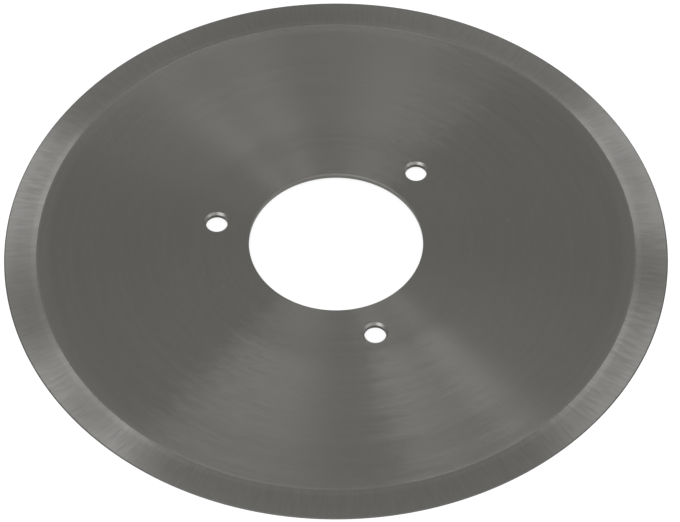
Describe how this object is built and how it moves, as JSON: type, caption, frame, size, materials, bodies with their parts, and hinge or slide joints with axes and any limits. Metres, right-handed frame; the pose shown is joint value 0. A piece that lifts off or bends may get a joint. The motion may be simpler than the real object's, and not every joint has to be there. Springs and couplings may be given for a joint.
{
  "type": "food slicer blade",
  "caption": "Round, shallow-dished ground steel blade for a food slicer, with a large central bore, chamfered screw holes on a circle, a wide bevel and a honed plain edge.",
  "frame": {"origin": "on the bore's axis, in the plane of the flat face that seats on the slicer's hub flange", "axes": "+Z along the bore's axis, out of the bevelled side; one screw hole lies on -Y"},
  "size_m": [0.33, 0.33, 0.0046],
  "materials": {
    "ground_steel": "face ground in circles about the bore, bevel ground across towards the edge, bare and unpainted"
  },
  "bodies": {
    "root": {"blade": "ground_steel"}
  },
  "joints": []
}
